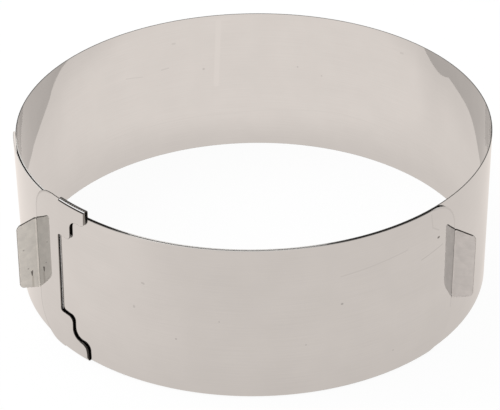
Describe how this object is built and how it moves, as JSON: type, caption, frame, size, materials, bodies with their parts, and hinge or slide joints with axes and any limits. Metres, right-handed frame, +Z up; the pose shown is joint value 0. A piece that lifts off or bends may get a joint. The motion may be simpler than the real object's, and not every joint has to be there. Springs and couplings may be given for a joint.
{
  "type": "cake ring",
  "caption": "Adjustable cake ring of thin polished steel strip: an open hoop with a loose end that slides through a folded clasp, and a bent finger grip at each end.",
  "frame": {"origin": "centre of the ring, in the plane that the ring stands on", "axes": "+Z up along the ring's axis, -Y towards the side where the ends of the strip overlap, +X to the right as seen from -Y, so the clasp is at -X -Y"},
  "size_m": [0.2463, 0.2463, 0.0895],
  "materials": {
    "stainless_strip": "bright, nearly mirror polished cold-rolled stainless sheet"
  },
  "bodies": {
    "hoop": {"hoop_strip": "stainless_strip", "clasp_plate": "stainless_strip", "left_grip": "stainless_strip"},
    "loose_end": {"sliding_strip": "stainless_strip", "right_grip": "stainless_strip"}
  },
  "joints": [
    {"name": "size_slide", "type": "hinge", "parent": "hoop", "child": "loose_end", "pos_m": [0, 0, 0], "axis": [0, 0, 1], "range_deg": [-80, 40]}
  ]
}
